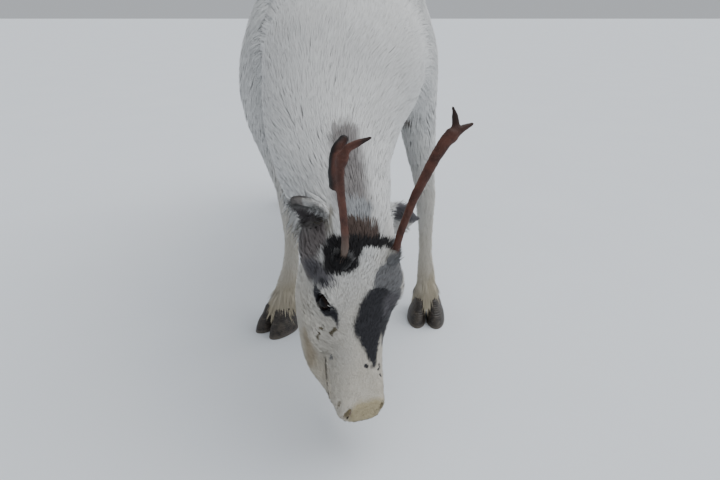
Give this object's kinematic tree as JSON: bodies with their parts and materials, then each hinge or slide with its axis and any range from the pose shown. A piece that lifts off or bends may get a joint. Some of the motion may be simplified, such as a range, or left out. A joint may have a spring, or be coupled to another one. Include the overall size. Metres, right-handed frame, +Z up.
{
  "type": "reindeer",
  "caption": "Still life-size model of a grazing reindeer, head lowered to the ground, with small forked antlers, throat mane and cloven hooves.",
  "frame": {"origin": "middle of the animal's bounding box, on the floor the hooves stand on", "axes": "+Z up, the animal faces -Y and its left side is towards +X"},
  "size_m": [0.4896, 1.414, 0.8486],
  "materials": {
    "coat": "matte",
    "leg_coat": "matte",
    "face_coat": "matte",
    "ear_coat": "matte",
    "antler": "satin",
    "hoof": "satin",
    "eye": "gloss"
  },
  "bodies": {
    "root": {"antler_left_beam": "antler", "antler_left_outer_tine": "antler", "antler_left_upper_tine": "antler", "antler_right_beam": "antler", "antler_right_inner_tine": "antler", "antler_right_rear_tine": "antler", "dewclaw_fore_left_a": "hoof", "dewclaw_fore_left_b": "hoof", "dewclaw_fore_right_a": "hoof", "dewclaw_fore_right_b": "hoof", "dewclaw_hind_left_a": "hoof", "dewclaw_hind_left_b": "hoof", "dewclaw_hind_right_a": "hoof", "dewclaw_hind_right_b": "hoof", "ear_left": "ear_coat", "ear_right": "ear_coat", "eye_left": "eye", "eye_right": "eye", "head": "face_coat", "hoof_fore_left_a": "hoof", "hoof_fore_left_b": "hoof", "hoof_fore_right_a": "hoof", "hoof_fore_right_b": "hoof", "hoof_hind_left_a": "hoof", "hoof_hind_left_b": "hoof", "hoof_hind_right_a": "hoof", "hoof_hind_right_b": "hoof", "leg_fore_left": "leg_coat", "leg_fore_right": "leg_coat", "leg_hind_left": "leg_coat", "leg_hind_right": "leg_coat", "neck": "coat", "tail": "coat", "torso": "coat"}
  },
  "joints": []
}
